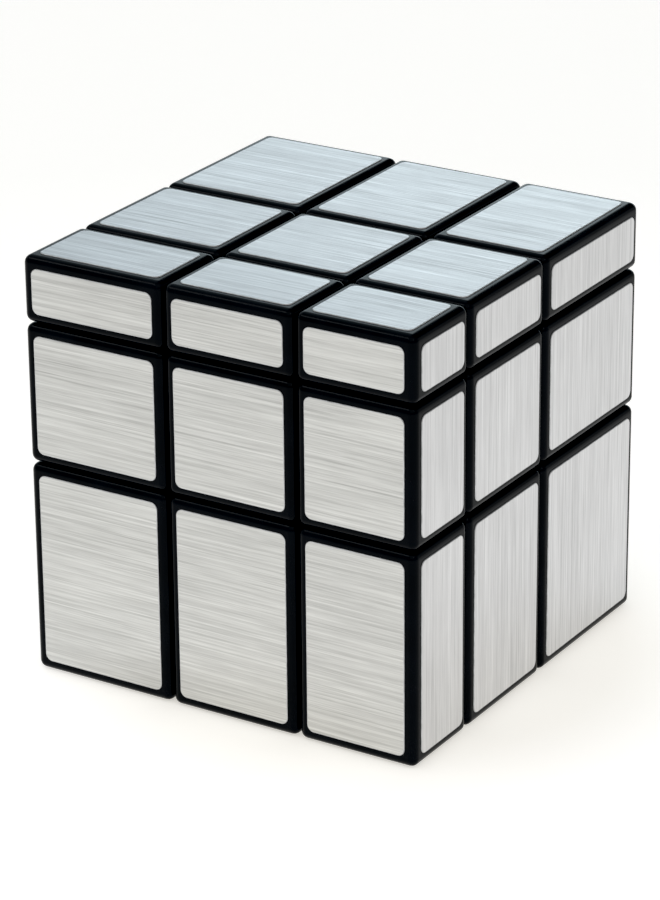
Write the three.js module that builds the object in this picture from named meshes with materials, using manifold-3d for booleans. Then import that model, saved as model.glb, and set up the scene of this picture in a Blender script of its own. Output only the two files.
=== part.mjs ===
// Mirror block cube: a 3x3x3 twisty puzzle whose outer layers all differ in thickness.
// It stands solved on its thickest layer. Millimetres, +Z up, the origin in the middle of the
// underside: front is -Y, right is +X. The mechanism is centred on the core, off the cube's middle.
import * as THREE from "three";
import { mergeVertices } from "three/addons/utils/BufferGeometryUtils.js";
import Module from "manifold-3d";

const wasm = await Module();
wasm.setup();

// ---- driving dimensions ----
const CUBE = 57; // outside of the solved cube, each way
const MIDDLE = 19; // thickness of each middle layer
const THINNEST = 9; // thickness of the top layer
const STEP = 4; // each of the six outer layers is this much thicker than the one before
const GAP = 0.5; // between two neighbouring pieces
const CHAMFER = 0.8; // on every edge of a block
const WALL = 1.5; // of the hollow blocks
const SEGMENTS = 20; // round a surface of revolution

const opposite = (thickness) => CUBE - MIDDLE - thickness;
const LAYER = { top: THINNEST, front: THINNEST + STEP, right: THINNEST + 2 * STEP };
Object.assign(LAYER, {
  bottom: opposite(LAYER.top),
  back: opposite(LAYER.front),
  left: opposite(LAYER.right),
});
const NORMAL = {
  top: [0, 0, 1],
  bottom: [0, 0, -1],
  front: [0, -1, 0],
  back: [0, 1, 0],
  right: [1, 0, 0],
  left: [-1, 0, 0],
};

// The core's place, which the layers' thicknesses set.
const HALF_MIDDLE = MIDDLE / 2;
const CORE = new THREE.Vector3(
  CUBE / 2 - LAYER.right - HALF_MIDDLE,
  -CUBE / 2 + LAYER.front + HALF_MIDDLE,
  LAYER.bottom + HALF_MIDDLE,
);

// Every layer parts from the middle along one surface of revolution about its own axis. Going out
// from the core it steps twice along a sphere, so that edge feet lie under the centres and corner
// feet under the edges, and then opens as a cone to the plane that shows as a groove outside.
const CUT = {
  edgeFoot: 4.7, // height of the cut over the core among the edge feet
  cornerFoot: 6.6, // and among the corner feet
  neck: 8.2, // and where the necks start
  plane: HALF_MIDDLE, // and outside the mechanism
  footInside: 11.6, // sphere under the edge feet
  footBetween: 14.4, // sphere between edge feet and corner feet
  footOutside: 17.2, // sphere over the corner feet
  coneEnd: 18.2, // distance from the layer's axis at which the cone meets the plane
  filled: 16.5, // blocks are filled out to the cuts this far from the core along each axis
  reach: 70, // well outside the cube
};

// The centre stack, as heights over the core along its axis.
const ARM_TOP = 8.6;
const ARM_RADIUS = 3.4;
const HUB_RADIUS = 5.4;
const BASE_BOTTOM = 8.9;
const BASE_TOP = 17;
const CAP_BOTTOM = 17.3;
const WELL_BOTTOM = 10;
const WELL_RADIUS = 3.3;
const SHANK_RADIUS = 1.15;
const SHANK_BOTTOM = 3.8;
const SHANK_HOLE = 1.5; // radius, in the arm and in the base
const ARM_HOLE_BOTTOM = 3.3;
const HEAD_BOTTOM = 14.6;
const HEAD_TOP = 16.3;
const HEAD_RADIUS = 2.8;
const WASHER = { bottom: 14, top: 14.4, inner: 1.45, outer: 2.9 };
const SPRING = { bottom: 10.55, top: 13.45, radius: 2.3, wire: 0.27, turns: 3, stepsPerTurn: 8 };
const TAB = { offset: 4.9, thick: 0.9, wide: 2.6, bottom: 15.2, clearance: 0.3 };
const CAP_TOP_WALL = 1.2;

// The corner's two pieces part on a plane across its diagonal, with a pin through it.
const SEAT = { plane: 20.6, gap: 0.3, pinRadius: 1.4, pinStart: 19, pinEnd: 24.5 };
const CORE_HOLE = { across: 4.6, high: 3, start: 10, end: 22 }; // moulding hole up an edge's foot
const EDGE_HOLLOW = 18.7; // distance from the core, along its diagonal, where an edge's hollow starts
const CORNER_HOLLOW = 22.3; // and a corner's

// ---- materials ----
const blackPlastic = new THREE.MeshStandardMaterial({ color: 0x07080a, roughness: 0.32, metalness: 0 });
const corePlastic = new THREE.MeshStandardMaterial({ color: 0x0c0d0f, roughness: 0.5, metalness: 0 });
const steel = new THREE.MeshStandardMaterial({ color: 0xb9bcc0, roughness: 0.3, metalness: 1 });

// ---- solids ----
// A closed three.js geometry as a manifold-3d solid.
function solid(geometry) {
  geometry.deleteAttribute("normal");
  geometry.deleteAttribute("uv");
  const merged = mergeVertices(geometry, 1e-4);
  return new wasm.Manifold(
    new wasm.Mesh({
      numProp: 3,
      vertProperties: merged.attributes.position.array,
      triVerts: new Uint32Array(merged.index.array),
    }),
  );
}

function geometryOf(made) {
  const mesh = made.getMesh();
  const geometry = new THREE.BufferGeometry();
  geometry.setAttribute("position", new THREE.BufferAttribute(mesh.vertProperties, 3));
  geometry.setIndex(new THREE.BufferAttribute(mesh.triVerts, 1));
  return geometry;
}

const box = (lo, hi) =>
  solid(
    new THREE.BoxGeometry(...lo.map((v, i) => hi[i] - v)).translate(...lo.map((v, i) => (v + hi[i]) / 2)),
  );

const ball = (radius, segments = SEGMENTS) =>
  solid(new THREE.SphereGeometry(radius, segments, segments / 2));

// A profile of [distance from the axis, height] points, turned about +Z.
const turned = (profile, segments = SEGMENTS) =>
  solid(
    new THREE.LatheGeometry(profile.map(([r, z]) => new THREE.Vector2(r, z)), segments).rotateX(Math.PI / 2),
  );

const cylinder = (radius, bottom, top, segments) =>
  turned([[0, bottom], [radius, bottom], [radius, top], [0, top]], segments);

// A box with all twelve edges chamfered.
function block(lo, hi) {
  const [x0, y0, z0] = lo;
  const [x1, y1, z1] = hi;
  const c = CHAMFER;
  const outline = new THREE.Shape(
    [
      [x0 + c, y0], [x1 - c, y0], [x1, y0 + c], [x1, y1 - c],
      [x1 - c, y1], [x0 + c, y1], [x0, y1 - c], [x0, y0 + c],
    ].map(([x, y]) => new THREE.Vector2(x, y)),
  );
  const geometry = new THREE.ExtrudeGeometry(outline, {
    depth: z1 - z0 - 2 * c,
    bevelThickness: c,
    bevelSize: c,
    bevelOffset: -c,
    bevelSegments: 1,
  });
  return solid(geometry.translate(0, 0, z0 + c));
}

// A solid made along +Z, turned so that it points along a direction from the core.
function pointed(made, direction) {
  const turn = new THREE.Quaternion().setFromUnitVectors(
    new THREE.Vector3(0, 0, 1),
    new THREE.Vector3(...direction).normalize(),
  );
  return solid(geometryOf(made).applyQuaternion(turn));
}

// The space on one layer's side of its cut. A positive offset draws it back by that much all along
// the cut, for the layer's own pieces, and a negative one grows it, to be taken from the others.
function layerSpace(offset) {
  const onSphere = (radius, height) => [Math.sqrt(radius ** 2 - height ** 2), height];
  const footHeight = CUT.edgeFoot + offset;
  const cornerHeight = CUT.cornerFoot + offset;
  const neckHeight = CUT.neck + offset;
  const between = CUT.footBetween - offset;
  const outside = CUT.footOutside - offset;
  return turned([
    [0, footHeight],
    onSphere(between, footHeight),
    onSphere(between, cornerHeight),
    onSphere(outside, cornerHeight),
    onSphere(outside, neckHeight),
    [CUT.coneEnd, CUT.plane + offset],
    [CUT.reach, CUT.plane + offset],
    [CUT.reach, CUT.reach],
    [0, CUT.reach],
  ]);
}

const ownSpace = {};
const takenSpace = {};
for (const [face, normal] of Object.entries(NORMAL)) {
  ownSpace[face] = pointed(layerSpace(GAP / 2), normal);
  takenSpace[face] = pointed(layerSpace(-GAP / 2), normal);
}

// ---- cells ----
// The 26 places round the core. Each holds the faces it is on and its block's corners.
const AXIS_FACES = [["left", "right"], ["front", "back"], ["bottom", "top"]];
const cells = [];
for (const x of [-1, 0, 1])
  for (const y of [-1, 0, 1])
    for (const z of [-1, 0, 1]) {
      const sides = [x, y, z];
      if (sides.every((s) => s === 0)) continue;
      const onAxis = sides.map((s, i) => (s === 0 ? null : AXIS_FACES[i][s < 0 ? 0 : 1]));
      const inner = HALF_MIDDLE - GAP / 2;
      const nearest = HALF_MIDDLE + GAP / 2;
      const farthest = onAxis.map((face) => (face ? HALF_MIDDLE + LAYER[face] : 0));
      const lo = sides.map((s, i) => (s === 0 ? -inner : s > 0 ? nearest : -farthest[i]));
      const hi = sides.map((s, i) => (s === 0 ? inner : s > 0 ? farthest[i] : -nearest));
      cells.push({ sides, lo, hi, faces: [onAxis[2], onAxis[1], onAxis[0]].filter(Boolean) });
    }

const otherFaces = (cell) => Object.keys(NORMAL).filter((face) => !cell.faces.includes(face));

// The space inside which blocks are filled out to the cuts; they are chamfered only outside it.
const mechanismSpace = box([-1, -1, -1].map((v) => v * CUT.filled), [1, 1, 1].map((v) => v * CUT.filled));

// Cuts a cell's piece free of every layer it isn't in.

function cutFree(made, cell) {
  for (const face of cell.faces) made = made.intersect(ownSpace[face]);
  for (const face of otherFaces(cell)) made = made.subtract(takenSpace[face]);
  return made;
}

// Everything beyond a plane square to a direction from the core.
const beyond = (distance, direction) =>
  pointed(box([-CUT.reach, -CUT.reach, distance], [CUT.reach, CUT.reach, CUT.reach]), direction);

// The hollow inside a block, kept clear of the mechanism by a plane across its diagonal.
const hollow = (cell, start) =>
  box(cell.lo.map((v) => v + WALL), cell.hi.map((v) => v - WALL)).intersect(beyond(start, cell.sides));

function edge(cell) {
  const whole = cutFree(block(cell.lo, cell.hi).add(mechanismSpace), cell).subtract(
    ball(CUT.footInside + GAP / 2),
  );
  const { across, high, start, end } = CORE_HOLE;
  const free = cell.sides.indexOf(0); // the axis along the edge
  const turn = new THREE.Matrix4().makeBasis(
    new THREE.Vector3().setComponent(free, 1),
    new THREE.Vector3(...cell.sides).normalize(),
    new THREE.Vector3().setComponent(free, 1).cross(new THREE.Vector3(...cell.sides).normalize()),
  );
  const hole = new THREE.BoxGeometry(across, end - start, high).translate(0, (start + end) / 2, 0);
  return whole.subtract(hollow(cell, EDGE_HOLLOW)).subtract(solid(hole.applyMatrix4(turn)));
}

function cornerShell(cell) {
  const { plane, gap, pinRadius, pinStart, pinEnd } = SEAT;
  const pinHole = pointed(cylinder(pinRadius + gap, pinStart, pinEnd + gap, 12), cell.sides);
  return cutFree(block(cell.lo, cell.hi).add(mechanismSpace), cell)
    .intersect(beyond(plane + gap / 2, cell.sides))
    .subtract(hollow(cell, CORNER_HOLLOW))
    .subtract(pinHole);
}

function cornerFoot(cell) {
  const { plane, gap, pinRadius, pinStart, pinEnd } = SEAT;
  const pin = pointed(cylinder(pinRadius, pinStart, pinEnd, 12), cell.sides);
  return cutFree(mechanismSpace, cell)
    .subtract(beyond(plane - gap / 2, cell.sides))
    .subtract(ball(CUT.footBetween + GAP / 2))
    .add(pin);
}

// The centre pieces are made in place, and what is round is made along +Z and pointed.
const tabBoxes = (grow, bottom, top) =>
  [-1, 1].map((side) =>
    box(
      [side * TAB.offset - TAB.thick / 2 - grow, -TAB.wide / 2 - grow, bottom - grow],
      [side * TAB.offset + TAB.thick / 2 + grow, TAB.wide / 2 + grow, top],
    ),
  );

function centreBase(cell) {
  const half = HALF_MIDDLE - GAP / 2;
  const column = pointed(box([-half, -half, BASE_BOTTOM], [half, half, BASE_TOP]), cell.sides);
  let holes = cylinder(SHANK_HOLE, 0, CUT.reach, 12).add(cylinder(WELL_RADIUS, WELL_BOTTOM, CUT.reach, 16));
  for (const slot of tabBoxes(TAB.clearance, TAB.bottom, CUT.reach)) holes = holes.add(slot);
  return cutFree(column, cell).subtract(pointed(holes, cell.sides));
}

// A cap is a deep hollow block on a thick side and a plate on the thinnest one. Two ribs cross the
// hollow and end in tabs, which push into the base's slots.
function centreCap(cell) {
  const half = HALF_MIDDLE - GAP / 2;
  const top = HALF_MIDDLE + LAYER[cell.faces[0]];
  let cap = block([-half, -half, CAP_BOTTOM - CHAMFER], [half, half, top]).subtract(
    box([-half - 1, -half - 1, 0], [half + 1, half + 1, CAP_BOTTOM]),
  );
  const hollowTop = top - Math.max(WALL, CAP_TOP_WALL);
  if (hollowTop > CAP_BOTTOM + WALL) {
    const inside = half - WALL;
    cap = cap.subtract(box([-inside, -inside, 0], [inside, inside, hollowTop]));
    for (const side of [-1, 1])
      cap = cap.add(
        box(
          [side * TAB.offset - TAB.thick / 2, -inside - 0.5, CAP_BOTTOM],
          [side * TAB.offset + TAB.thick / 2, inside + 0.5, hollowTop + 0.5],
        ),
      );
  }
  for (const tab of tabBoxes(0, TAB.bottom, CAP_BOTTOM + 0.5)) cap = cap.add(tab);
  return pointed(cap, cell.sides);
}

function screw() {
  const headEdge = HEAD_TOP - 0.7;
  const shank = turned(
    [
      [0, SHANK_BOTTOM], [SHANK_RADIUS * 0.4, SHANK_BOTTOM], [SHANK_RADIUS, SHANK_BOTTOM + 1.2],
      [SHANK_RADIUS, HEAD_BOTTOM], [HEAD_RADIUS, HEAD_BOTTOM], [HEAD_RADIUS, headEdge],
      [HEAD_RADIUS * 0.75, HEAD_TOP - 0.15], [0, HEAD_TOP],
    ],
    12,
  );
  const slotLong = 1.6;
  const slotWide = 0.3;
  const slotBottom = HEAD_TOP - 1.1;
  return shank
    .subtract(box([-slotLong, -slotWide, slotBottom], [slotLong, slotWide, HEAD_TOP + 1]))
    .subtract(box([-slotWide, -slotLong, slotBottom], [slotWide, slotLong, HEAD_TOP + 1]));
}

const washer = () =>
  turned(
    [
      [WASHER.inner, WASHER.bottom], [WASHER.outer, WASHER.bottom],
      [WASHER.outer, WASHER.top], [WASHER.inner, WASHER.top], [WASHER.inner, WASHER.bottom],
    ],
    12,
  );

class Helix extends THREE.Curve {
  getPoint(t, target = new THREE.Vector3()) {
    const angle = 2 * Math.PI * SPRING.turns * t;
    const height = SPRING.bottom + (SPRING.top - SPRING.bottom) * t;
    return target.set(SPRING.radius * Math.cos(angle), SPRING.radius * Math.sin(angle), height);
  }
}

function spring() {
  const sides = 5;
  const section = new THREE.Shape(
    Array.from({ length: sides }, (_, i) => {
      const angle = (2 * Math.PI * i) / sides;
      return new THREE.Vector2(SPRING.wire * Math.cos(angle), SPRING.wire * Math.sin(angle));
    }),
  );
  const steps = SPRING.turns * SPRING.stepsPerTurn;
  return solid(new THREE.ExtrudeGeometry(section, { steps, extrudePath: new Helix() }));
}

// The six-armed core, with a screw hole up each arm.
function core() {
  let made = ball(HUB_RADIUS, 12);
  for (const normal of Object.values(NORMAL))
    made = made.add(pointed(cylinder(ARM_RADIUS, 0, ARM_TOP, 12), normal));
  for (const normal of Object.values(NORMAL))
    made = made.subtract(pointed(cylinder(SHANK_HOLE, ARM_HOLE_BOTTOM, ARM_TOP + 1, 8), normal));
  return made;
}

// ---- the object ----
const cube = new THREE.Group();
const mechanism = new THREE.Group();
mechanism.position.copy(CORE);
cube.add(mechanism);

function add(name, made, material) {
  const mesh = new THREE.Mesh(geometryOf(made), material);
  mesh.name = name;
  mechanism.add(mesh);
}

add("core", core(), corePlastic);
for (const cell of cells) {
  const place = cell.faces.join("_");
  if (cell.faces.length === 1) {
    add(`centre_base_${place}`, centreBase(cell), blackPlastic);
    add(`centre_cap_${place}`, centreCap(cell), blackPlastic);
    add(`screw_${place}`, pointed(screw(), cell.sides), steel);
    add(`washer_${place}`, pointed(washer(), cell.sides), steel);
    add(`spring_${place}`, pointed(spring(), cell.sides), steel);
  } else if (cell.faces.length === 2) {
    add(`edge_${place}`, edge(cell), blackPlastic);
  } else {
    add(`corner_shell_${place}`, cornerShell(cell), blackPlastic);
    add(`corner_foot_${place}`, cornerFoot(cell), blackPlastic);
  }
}

export default cube;
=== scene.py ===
"""Looks of the mirror block cube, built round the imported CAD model. Metres, +Z up, front is -Y."""
import math

import bmesh
import bpy
from mathutils import Matrix, Vector

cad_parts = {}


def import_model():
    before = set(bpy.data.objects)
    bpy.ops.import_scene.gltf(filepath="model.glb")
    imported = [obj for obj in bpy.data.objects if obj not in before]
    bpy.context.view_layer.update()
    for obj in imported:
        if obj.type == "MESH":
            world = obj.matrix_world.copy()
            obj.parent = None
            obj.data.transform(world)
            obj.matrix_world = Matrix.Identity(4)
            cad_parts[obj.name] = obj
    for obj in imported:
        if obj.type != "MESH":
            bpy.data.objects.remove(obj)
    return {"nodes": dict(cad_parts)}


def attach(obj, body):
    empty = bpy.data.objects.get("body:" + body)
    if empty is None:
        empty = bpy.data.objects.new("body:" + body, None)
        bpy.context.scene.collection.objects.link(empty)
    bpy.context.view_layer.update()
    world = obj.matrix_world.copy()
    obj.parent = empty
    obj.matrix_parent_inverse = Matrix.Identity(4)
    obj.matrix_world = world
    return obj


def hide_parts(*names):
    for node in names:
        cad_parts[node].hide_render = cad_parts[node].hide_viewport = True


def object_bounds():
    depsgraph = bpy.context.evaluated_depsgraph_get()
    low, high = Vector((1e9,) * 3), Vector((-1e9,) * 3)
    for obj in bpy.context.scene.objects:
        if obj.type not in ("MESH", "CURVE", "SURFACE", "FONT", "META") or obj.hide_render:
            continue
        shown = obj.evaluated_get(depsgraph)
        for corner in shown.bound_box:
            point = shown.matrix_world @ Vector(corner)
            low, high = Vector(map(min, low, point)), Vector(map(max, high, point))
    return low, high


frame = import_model()
cad_bounds = [list(corner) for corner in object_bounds()]

MM = 0.001

# ---- the cube's layout, as the CAD has it ----
CUBE = 57 * MM
MIDDLE = 19 * MM
LAYER = {
    "top": 9 * MM,
    "bottom": 29 * MM,
    "front": 13 * MM,
    "back": 25 * MM,
    "right": 17 * MM,
    "left": 21 * MM,
}
AXIS_FACES = (("left", "right"), ("front", "back"), ("bottom", "top"))
CORE = Vector((
    CUBE / 2 - LAYER["right"] - MIDDLE / 2,
    -CUBE / 2 + LAYER["front"] + MIDDLE / 2,
    LAYER["bottom"] + MIDDLE / 2,
))
# distance from the core, along a block's own diagonal, at which it is parted from its foot
EDGE_SPLIT = 18.2 * MM
CORNER_SPLIT = 20.75 * MM
CAP_BOTTOM = 17.3 * MM  # height of a centre cap's underside over the core

# ---- sizes that only show ----
GAP = 0.2 * MM  # between two neighbouring blocks
BLOCK_RADIUS = 1.05 * MM  # on every edge of a block
BLOCK_SEGMENTS = 5  # in each of those roundings
STICKER_MARGIN = 1.46 * MM  # from the cube's outer edges
STICKER_CUT_MARGIN = 1.35 * MM  # from a block's side to its sticker, where another block is next to it
STICKER_RADIUS = 0.95 * MM  # of its corners
CORNER_STEP = 15  # degrees between two points of a sticker's corner
STICKER_THICK = 0.12 * MM
STICKER_SUNK = 0.02 * MM  # how far its underside goes into the block
STICKER_WALL = 0.45  # the straight part of its edge, as a share of the thickness; the rest is its rim
STICKER_RIM = 0.1 * MM  # width of the rounded rim
RIM_ANGLES = (30, 60, 90)  # where the rim has its rings of points
FLOOR_CLEAR = 0.01 * MM  # from the floor to the lowest stickers, which would otherwise share a plane
WELD = 1e-7  # metres within which two points of a mesh are one

# angles, in degrees, above which an edge between two faces is shaded sharp
SHARP_BLOCK, SHARP_FOOT, SHARP_STICKER, SHARP_CAD = 40, 25, 60, 35


# ---- node helpers ----
class Nodes:
    """A short way to build a material's node tree."""

    def __init__(self, name):
        self.material = bpy.data.materials.new(name)
        self.material.use_nodes = True
        self.tree = self.material.node_tree
        self.shader = self.tree.nodes["Principled BSDF"]

    def add(self, kind, **settings):
        node = self.tree.nodes.new(kind)
        for key, value in settings.items():
            setattr(node, key, value)
        return node

    def link(self, source, target):
        self.tree.links.new(source, target)

    def coordinates(self, scale=(1, 1, 1)):
        """The piece's own coordinates, times scale along each axis."""
        where = self.add("ShaderNodeTexCoord")
        mapping = self.add("ShaderNodeMapping")
        mapping.inputs["Scale"].default_value = scale
        self.link(where.outputs["Object"], mapping.inputs["Vector"])
        return mapping.outputs["Vector"]

    def noise(self, vector, scale=1.0, detail=2.0, roughness=0.5, distortion=0.0):
        node = self.add("ShaderNodeTexNoise")
        node.inputs["Scale"].default_value = scale
        node.inputs["Detail"].default_value = detail
        node.inputs["Roughness"].default_value = roughness
        node.inputs["Distortion"].default_value = distortion
        self.link(vector, node.inputs["Vector"])
        return node.outputs["Fac"]

    def distance(self, centre):
        """How far a point of the piece is from a centre in its own coordinates."""
        node = self.add("ShaderNodeVectorMath", operation="DISTANCE")
        self.link(self.coordinates(), node.inputs[0])
        node.inputs[1].default_value = centre
        return node.outputs["Value"]

    def spread(self, value, low, high, to_low, to_high):
        """value, stretched from low..high to to_low..to_high and held there."""
        node = self.add("ShaderNodeMapRange")
        for key, number in zip(("From Min", "From Max", "To Min", "To Max"), (low, high, to_low, to_high)):
            node.inputs[key].default_value = number
        self.link(value, node.inputs["Value"])
        return node.outputs["Result"]

    def math(self, operation, a, b):
        node = self.add("ShaderNodeMath", operation=operation)
        for socket, value in zip(node.inputs, (a, b)):
            if isinstance(value, (int, float)):
                socket.default_value = value
            else:
                self.link(value, socket)
        return node.outputs["Value"]

    def total(self, *weighted):
        """The sum of (value, weight) pairs, each value times its weight."""
        result = self.math("MULTIPLY", *weighted[0])
        for value, weight in weighted[1:]:
            result = self.math("ADD", result, self.math("MULTIPLY", value, weight))
        return result

    def blend(self, factor, colour_a, colour_b):
        node = self.add("ShaderNodeMix", data_type="RGBA")
        self.link(factor, node.inputs["Factor"])
        node.inputs["A"].default_value = (*colour_a, 1)
        node.inputs["B"].default_value = (*colour_b, 1)
        return node.outputs["Result"]

    def bump(self, height, strength, distance):
        node = self.add("ShaderNodeBump")
        node.inputs["Strength"].default_value = strength
        node.inputs["Distance"].default_value = distance
        self.link(height, node.inputs["Height"])
        return node.outputs["Normal"]


# ---- materials ----
# noise scales, in features per metre
PLASTIC_PATCHES = 220
PLASTIC_GRAIN = 2600
SILVER_CLOUDS = 90
STEEL_WEAR = 900

PLASTIC_IOR = 1.5
PLASTIC_BUMP = 0.01 * MM
PALER_PLASTIC = 2.2  # how many times paler the rubbed spots are
DULLER_STEEL = 0.75

SILVER_DARK, SILVER_PALE = 0.43, 0.80  # base colours that the brushing ranges between
SILVER_ROUGH, SILVER_SMOOTH = 0.42, 0.32
SILVER_BUMP = 0.02 * MM
SILVER_STRETCH = 0.6  # anisotropy
# the brushing: length, width and waver of its kinds of hairline, and each kind's share
HAIRLINES = (
    (32 * MM, 0.34 * MM, 0.0, 0.36),
    (13 * MM, 0.17 * MM, 0.5, 0.44),
    (4 * MM, 0.14 * MM, 0.4, 0.24),
    (50 * MM, 1.3 * MM, 0.0, 0.18),
)
# how much each part of the brushing counts in the silver's tone
LINES_SHARE, PALE_SHARE, DARK_SHARE, CLOUD_SHARE = 0.75, 0.55, 0.5, 0.08


def black_plastic(name, colour, roughness, grain, shine):
    """Moulded plastic: a faint grain, a polish that varies, and rubbed spots that are a little paler."""
    n = Nodes(name)
    patches = n.noise(n.coordinates(), scale=PLASTIC_PATCHES, detail=3)
    fine = n.noise(n.coordinates(), scale=PLASTIC_GRAIN, detail=2)
    pale = tuple(c * PALER_PLASTIC for c in colour)
    n.link(n.blend(n.spread(patches, 0.35, 0.75, 0, 1), colour, pale), n.shader.inputs["Base Color"])
    rough = n.math("ADD", n.spread(patches, 0.3, 0.7, roughness - 0.05, roughness + 0.05),
                   n.spread(fine, 0.3, 0.7, -0.02, 0.02))
    n.link(rough, n.shader.inputs["Roughness"])
    n.link(n.bump(fine, grain, PLASTIC_BUMP), n.shader.inputs["Normal"])
    n.shader.inputs["IOR"].default_value = PLASTIC_IOR
    n.shader.inputs["Specular IOR Level"].default_value = shine
    return n.material


def brushed_silver(name, along, contrast, painted_light_tint):
    """Metallised film brushed along one axis: hairlines of several sizes, long and thin, and a few
    scratches paler or darker than the rest."""
    n = Nodes(name)

    def hairlines(length, width, waver=0.0, low=0.3, high=0.7, to_low=-1, to_high=1):
        scale = [1 / width] * 3
        scale[along] = 1 / length
        lines = n.noise(n.coordinates(tuple(scale)), detail=1, roughness=0.6, distortion=waver)
        return n.spread(lines, low, high, to_low, to_high)

    lines = n.total(*[(hairlines(*shape), share) for *shape, share in HAIRLINES])
    pale = hairlines(26 * MM, 0.2 * MM, low=0.63, high=0.75, to_low=0, to_high=1)
    dark = hairlines(22 * MM, 0.24 * MM, low=0.37, high=0.27, to_low=0, to_high=-1)
    cloud = n.spread(n.noise(n.coordinates(), scale=SILVER_CLOUDS, detail=3), 0.3, 0.7, -1, 1)
    tone = n.total((lines, LINES_SHARE * contrast), (pale, PALE_SHARE * contrast),
                   (dark, DARK_SHARE * contrast), (cloud, CLOUD_SHARE))
    # the tint per face scales the silver's colour: painted shade on the front and back, painted light on
    # the sides
    dull, bright = [tuple(level * c for c in painted_light_tint) for level in (SILVER_DARK, SILVER_PALE)]
    n.link(n.blend(n.spread(tone, -1, 1, 0, 1), dull, bright), n.shader.inputs["Base Color"])
    n.link(n.spread(tone, -0.8, 0.8, SILVER_ROUGH, SILVER_SMOOTH), n.shader.inputs["Roughness"])
    n.link(n.bump(lines, 0.3, SILVER_BUMP), n.shader.inputs["Normal"])
    n.shader.inputs["Metallic"].default_value = 1.0
    n.shader.inputs["Anisotropic"].default_value = SILVER_STRETCH
    tangent = n.add("ShaderNodeTangent", direction_type="UV_MAP", uv_map="UVMap")
    n.link(tangent.outputs["Tangent"], n.shader.inputs["Tangent"])
    return n.material


def plated_steel(name, colour, roughness):
    """Plated or drawn steel with fine random wear. The film's cut edge looks much the same."""
    n = Nodes(name)
    wear = n.noise(n.coordinates(), scale=STEEL_WEAR, detail=4)
    dull = tuple(c * DULLER_STEEL for c in colour)
    n.link(n.blend(n.spread(wear, 0.35, 0.65, 0, 1), dull, colour), n.shader.inputs["Base Color"])
    n.link(n.spread(wear, 0.3, 0.7, roughness + 0.1, roughness), n.shader.inputs["Roughness"])
    n.shader.inputs["Metallic"].default_value = 1.0
    return n.material


BLOCK_BLACK = black_plastic("block_black", (0.0007, 0.0011, 0.0020), roughness=0.17, grain=0.05, shine=0.07)
CORE_BLACK = black_plastic("core_black", (0.008, 0.008, 0.009), roughness=0.5, grain=0.12, shine=0.4)
ZINC = plated_steel("zinc_plate", (0.66, 0.67, 0.69), roughness=0.28)
SPRING_WIRE = plated_steel("spring_wire", (0.7, 0.7, 0.69), roughness=0.2)
FILM_EDGE = plated_steel("film_edge", (0.62, 0.63, 0.64), roughness=0.4)
X, Z = 0, 2
# for each pair of opposite faces, the film on them and the axis it is brushed along. It is one silver
# throughout, and its tint per face is painted shade on the front and back (darker, warmer), painted light
# on the left and right (paler, cooler), and nearly none on the top and bottom
FRONT_FILM = brushed_silver("brushed_silver_front", X, 0.90, (0.939, 0.942, 0.917)), X
SIDE_FILM = brushed_silver("brushed_silver_side", Z, 0.75, (1.048, 1.050, 1.065)), Z
TOP_FILM = brushed_silver("brushed_silver_top", X, 1.0, (1.0, 0.985, 0.995)), X
FILMS = {
    "front": FRONT_FILM, "back": FRONT_FILM,
    "left": SIDE_FILM, "right": SIDE_FILM,
    "top": TOP_FILM, "bottom": TOP_FILM,
}


# ---- mesh helpers ----
def make_object(name, mesh_builder, material, sharp=SHARP_BLOCK):
    mesh = bpy.data.meshes.new(name)
    mesh_builder.to_mesh(mesh)
    mesh_builder.free()
    mesh.materials.append(material)
    for polygon in mesh.polygons:
        polygon.use_smooth = True
    mesh.set_sharp_from_angle(angle=math.radians(sharp))
    piece = bpy.data.objects.new(name, mesh)
    bpy.context.scene.collection.objects.link(piece)
    flatten = piece.modifiers.new("flat_faces", "WEIGHTED_NORMAL")
    flatten.keep_sharp = True
    flatten.weight = 100
    return piece


def cut(bm, sides, distance, **which):
    """Cuts a mesh on the plane across sides, at a distance from the core, clears one part and caps the
    other."""
    normal = sides.normalized()
    bmesh.ops.bisect_plane(bm, geom=bm.verts[:] + bm.edges[:] + bm.faces[:], dist=WELD,
                           plane_co=CORE + normal * distance, plane_no=normal, **which)
    bmesh.ops.holes_fill(bm, edges=[e for e in bm.edges if e.is_boundary])
    bmesh.ops.recalc_face_normals(bm, faces=bm.faces)


def rounded_block(lo, hi, sides, distance):
    """A box with all its edges rounded, and the part on the core's side of a plane cut off."""
    bm = bmesh.new()
    bmesh.ops.create_cube(bm, size=1, matrix=Matrix.LocRotScale((lo + hi) / 2, None, hi - lo))
    bmesh.ops.bevel(bm, geom=bm.edges[:], offset=BLOCK_RADIUS, segments=BLOCK_SEGMENTS, profile=0.5,
                    affect="EDGES", clamp_overlap=True)
    cut(bm, sides, distance, clear_inner=True)
    return bm


def inner_part(node, sides, distance):
    """The part of a CAD node on the core's side of a plane, which is its neck and foot."""
    bm = bmesh.new()
    bm.from_mesh(frame["nodes"][node].data)
    bmesh.ops.remove_doubles(bm, verts=bm.verts, dist=WELD)
    cut(bm, sides, distance, clear_outer=True)
    bmesh.ops.dissolve_limit(bm, angle_limit=math.radians(1), verts=bm.verts, edges=bm.edges)
    return bm


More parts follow.
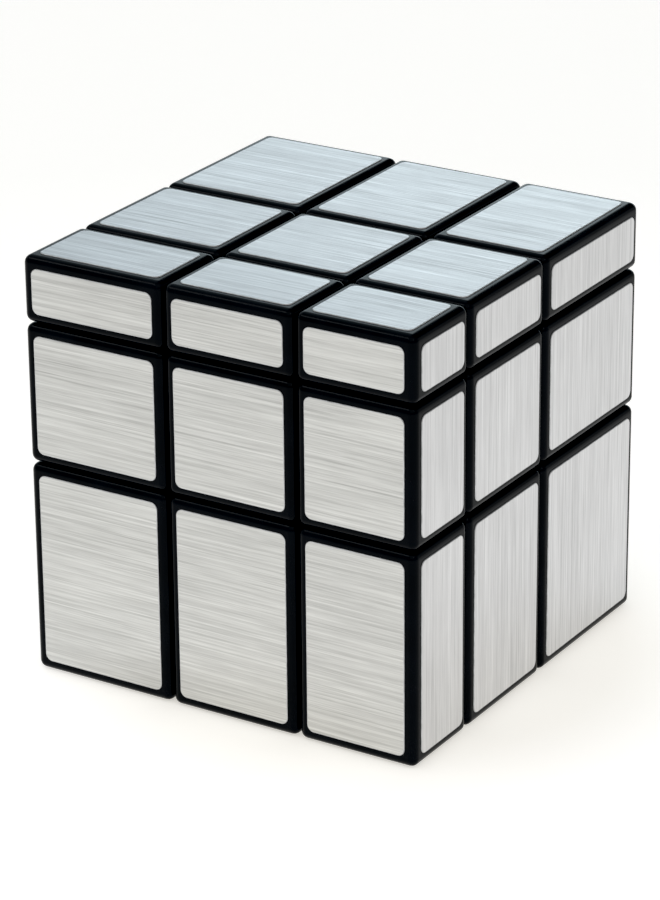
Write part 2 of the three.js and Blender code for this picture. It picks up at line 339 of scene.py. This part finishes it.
def sticker(name, face, sides, lo, hi):
    """A rounded film on one side of a block. lo and hi are the block's corners."""
    film, along = FILMS[face]
    axis = next(i for i, pair in enumerate(AXIS_FACES) if face in pair)
    outward = 1 if face == AXIS_FACES[axis][1] else -1
    u, v = [i for i in range(3) if i != axis]
    level = hi[axis] if outward > 0 else lo[axis]
    low_margin = [STICKER_MARGIN if sides[i] < 0 else STICKER_CUT_MARGIN for i in (u, v)]
    high_margin = [STICKER_MARGIN if sides[i] > 0 else STICKER_CUT_MARGIN for i in (u, v)]
    bm = bmesh.new()

    def ring(inset, height):
        points = []
        radius = STICKER_RADIUS - inset
        low = [lo[i] + margin + inset for i, margin in zip((u, v), low_margin)]
        high = [hi[i] - margin - inset for i, margin in zip((u, v), high_margin)]
        corners = ((high[0], high[1], 0), (low[0], high[1], 90),
                   (low[0], low[1], 180), (high[0], low[1], 270))
        for cu, cv, start in corners:
            centre = (cu - math.copysign(radius, math.cos(math.radians(start + 45))),
                      cv - math.copysign(radius, math.sin(math.radians(start + 45))))
            for degrees in range(start, start + 91, CORNER_STEP):
                angle = math.radians(degrees)
                place = [0.0, 0.0, 0.0]
                place[u] = centre[0] + radius * math.cos(angle)
                place[v] = centre[1] + radius * math.sin(angle)
                place[axis] = level + outward * height
                points.append(bm.verts.new(place))
        return points

    rings = [ring(0, -STICKER_SUNK), ring(0, STICKER_THICK * STICKER_WALL)]
    for step in RIM_ANGLES:
        angle = math.radians(step)
        height = STICKER_THICK * (STICKER_WALL + (1 - STICKER_WALL) * math.sin(angle))
        rings.append(ring(STICKER_RIM * (1 - math.cos(angle)), height))
    count = len(rings[0])
    for lower, upper in zip(rings, rings[1:]):
        for i in range(count):
            f = bm.faces.new((lower[i], lower[(i + 1) % count], upper[(i + 1) % count], upper[i]))
            f.material_index = 1
    bm.faces.new(rings[0])
    bm.faces.new(rings[-1])
    bmesh.ops.recalc_face_normals(bm, faces=bm.faces)
    across = v if along == u else u
    uv = bm.loops.layers.uv.new("UVMap")
    for f in bm.faces:
        for loop in f.loops:
            loop[uv].uv = (loop.vert.co[along] / CUBE + 0.5, loop.vert.co[across] / CUBE + 0.5)
    piece = make_object(name, bm, film, SHARP_STICKER)
    piece.data.materials.append(FILM_EDGE)
    return piece


# ---- the blocks ----
def faces_of(sides):
    """The faces a cell is on, in the order the CAD names them: by Z, then Y, then X."""
    return [AXIS_FACES[i][0 if sides[i] < 0 else 1] for i in (2, 1, 0) if sides[i] != 0]


def block_corners(sides):
    lo, hi = Vector((0, 0, 0)), Vector((0, 0, 0))
    inner = MIDDLE / 2 - GAP / 2
    near = MIDDLE / 2 + GAP / 2
    for i in range(3):
        if sides[i] == 0:
            lo[i], hi[i] = -inner, inner
        else:
            far = MIDDLE / 2 + LAYER[AXIS_FACES[i][0 if sides[i] < 0 else 1]]
            lo[i], hi[i] = (near, far) if sides[i] > 0 else (-far, -near)
    return lo + CORE, hi + CORE


def finish_piece(piece, body, slot, *nodes):
    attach(piece, body)
    if nodes:
        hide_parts(*nodes)


# by the number of faces a cell is on: its kind, where it is cut, the start of its piece's name and of
# the CAD node it replaces
KINDS = {
    1: ("centre", CAP_BOTTOM, "cap_", "centre_cap_"),
    2: ("edge", EDGE_SPLIT, "block_", "edge_"),
    3: ("corner", CORNER_SPLIT, "block_", "corner_shell_"),
}

for x in (-1, 0, 1):
    for y in (-1, 0, 1):
        for z in (-1, 0, 1):
            sides = Vector((x, y, z))
            faces = faces_of(sides)
            if not faces:
                continue
            place = "_".join(faces)
            kind, distance, name_start, node_start = KINDS[len(faces)]
            body = f"{kind}_{place}"
            lo, hi = block_corners(sides)
            piece = make_object(name_start + place, rounded_block(lo, hi, sides, distance), BLOCK_BLACK)
            finish_piece(piece, body, "black_plastic", node_start + place)
            if kind == "edge":
                piece = make_object(f"foot_{place}", inner_part(f"edge_{place}", sides, distance),
                                    BLOCK_BLACK, SHARP_FOOT)
                finish_piece(piece, body, "black_plastic")
            for face in faces:
                piece = sticker(f"sticker_{face}_on_{place}", face, sides, lo, hi)
                finish_piece(piece, body, "silver_sticker")

# ---- CAD nodes that stay, with finished materials ----
for name, node in frame["nodes"].items():
    if node.hide_render:
        continue
    material = BLOCK_BLACK
    if name == "core":
        material = CORE_BLACK
    elif name.startswith("spring_"):
        material = SPRING_WIRE
    elif name.startswith(("screw_", "washer_")):
        material = ZINC
    node.data.materials.clear()
    node.data.materials.append(material)
    for polygon in node.data.polygons:
        polygon.use_smooth = True
    node.data.set_sharp_from_angle(angle=math.radians(SHARP_CAD))

# ---- floor, light and camera ----
FLOOR_RADIUS = 6
FLOOR_TONES = ((0.69, 0.685, 0.68), (0.71, 0.705, 0.70))
FLOOR_ROUGH = 0.8
# the floor's own light: its colour, and its strength at two distances from the middle
FLOOR_LIGHT = (1.0, 0.985, 0.96)
FLOOR_DISTANCES = (0.06, 0.20)
FLOOR_STRENGTHS = (0.66, 0.55)
# at the cube's foot that light is warmer and weaker, round a centre a little to the right
FOOT_LIGHT = (1.0, 0.97, 0.90)
FOOT_STRENGTH = 0.85
FOOT_CENTRE = (6 * MM, 0, 0)
FOOT_FADES = (32 * MM, 46 * MM)

# the surround: its even colour, and the patches laid over it in turn, each with the azimuth and
# elevation of its middle, the cosines between which it fades in, and its colour
SURROUND = (0.55, 0.55, 0.535)
PATCHES = (
    ((-148, 22), (0.45, 0.95), (0.55, 0.64, 0.69)),  # broad and bluish, behind the cube on its left
    ((-165, 12), (0.89, 0.995), (2.16, 2.52, 2.66)),  # bright, low behind the cube
    ((175, 42), (0.80, 0.93), (0.12, 0.12, 0.12)),  # dark, above the bright one
)

# name, azimuth, elevation, distance, width, height, watts, colour
SOFTBOXES = (
    ("key", 32, 52, 1.3, 1.4, 1.2, 2.2, (1.0, 0.985, 0.96)),
    ("left_strip", -52, 50, 0.9, 0.50, 0.08, 0.5, (0.95, 0.98, 1.0)),
    ("sparkle", 62, 46, 0.9, 0.06, 0.06, 0.25, (1, 1, 1)),
)
BLACK_LEVEL = (0.0050, 0.0046, 0.0044)

AIM = Vector((0, -1.8, 27.1)) * MM
AZIMUTH, ELEVATION, ROLL = 31.87, 22.64, -0.5  # degrees
DISTANCE = 496.5 * MM
LENS = 153.4  # mm
SENSOR = 36  # its long side, mm


def floor():
    """A pale floor, faintly lit from inside."""
    bm = bmesh.new()
    bmesh.ops.create_circle(bm, cap_ends=True, segments=96, radius=FLOOR_RADIUS)
    n = Nodes("pale_floor")
    tone = n.noise(n.coordinates(), scale=3, detail=2)
    n.link(n.blend(n.spread(tone, 0.3, 0.7, 0, 1), *FLOOR_TONES), n.shader.inputs["Base Color"])
    n.shader.inputs["Roughness"].default_value = FLOOR_ROUGH
    lit = n.spread(n.distance((0, 0, 0)), *FLOOR_DISTANCES, *FLOOR_STRENGTHS)
    clear = n.spread(n.distance(FOOT_CENTRE), *FOOT_FADES, 0, 1)
    n.link(n.blend(clear, FOOT_LIGHT, FLOOR_LIGHT), n.shader.inputs["Emission Color"])
    strength = n.math("MULTIPLY", lit, n.spread(clear, 0, 1, FOOT_STRENGTH, 1))
    n.link(strength, n.shader.inputs["Emission Strength"])
    mesh = bpy.data.meshes.new("floor")
    bm.to_mesh(mesh)
    bm.free()
    mesh.materials.append(n.material)
    ground = bpy.data.objects.new("floor", mesh)
    bpy.context.scene.collection.objects.link(ground)
    ground.location.z = min(corner[2] for corner in cad_bounds) - STICKER_THICK - FLOOR_CLEAR


def direction(azimuth, elevation):
    """The unit vector that points to a place in the studio. Azimuth 0 is the front, 90 the right."""
    a, e = math.radians(azimuth), math.radians(elevation)
    return Vector((math.sin(a) * math.cos(e), -math.cos(a) * math.cos(e), math.sin(e)))


def world():
    """The soft surround, with its patches."""
    made = bpy.data.worlds.new("studio")
    made.use_nodes = True
    tree = made.node_tree
    where = tree.nodes.new("ShaderNodeTexCoord")
    below = None
    for centre, (start, full), colour in PATCHES:
        towards = tree.nodes.new("ShaderNodeVectorMath")
        towards.operation = "DOT_PRODUCT"
        towards.inputs[1].default_value = direction(*centre)
        ramp = tree.nodes.new("ShaderNodeMapRange")
        ramp.interpolation_type = "SMOOTHSTEP"
        ramp.inputs["From Min"].default_value = start
        ramp.inputs["From Max"].default_value = full
        mix = tree.nodes.new("ShaderNodeMix")
        mix.data_type = "RGBA"
        mix.inputs["A"].default_value = (*SURROUND, 1)
        mix.inputs["B"].default_value = (*colour, 1)
        tree.links.new(where.outputs["Generated"], towards.inputs[0])
        tree.links.new(towards.outputs["Value"], ramp.inputs["Value"])
        tree.links.new(ramp.outputs["Result"], mix.inputs["Factor"])
        if below is not None:
            tree.links.new(below, mix.inputs["A"])
        below = mix.outputs["Result"]
    tree.links.new(below, tree.nodes["Background"].inputs["Color"])
    bpy.context.scene.world = made


def softbox(name, azimuth, elevation, distance, width, height, power, colour):
    back = direction(azimuth, elevation)
    lamp = bpy.data.lights.new(name, "AREA")
    lamp.shape = "RECTANGLE"
    lamp.size, lamp.size_y = width, height
    lamp.energy = power
    lamp.color = colour
    light = bpy.data.objects.new(name, lamp)
    bpy.context.scene.collection.objects.link(light)
    light.location = Vector((0, 0, CUBE / 2)) + back * distance
    light.rotation_mode = "QUATERNION"
    light.rotation_quaternion = back.to_track_quat("Z", "Y")


def camera():
    back = direction(AZIMUTH, ELEVATION)
    data = bpy.data.cameras.new("camera")
    data.lens = LENS
    data.sensor_width = SENSOR
    data.clip_start, data.clip_end = 0.01, 50
    made = bpy.data.objects.new("camera", data)
    bpy.context.scene.collection.objects.link(made)
    made.rotation_mode = "QUATERNION"
    turn = back.to_track_quat("Z", "Y")
    made.rotation_quaternion = turn @ Matrix.Rotation(math.radians(ROLL), 3, "Z").to_quaternion()
    made.location = AIM + back * DISTANCE
    bpy.context.scene.camera = made


floor()
world()
for settings in SOFTBOXES:
    softbox(*settings)
camera()
view = bpy.context.scene.view_settings
view.view_transform = "Standard"
view.use_curve_mapping = True
view.curve_mapping.black_level = BLACK_LEVEL
view.curve_mapping.update()
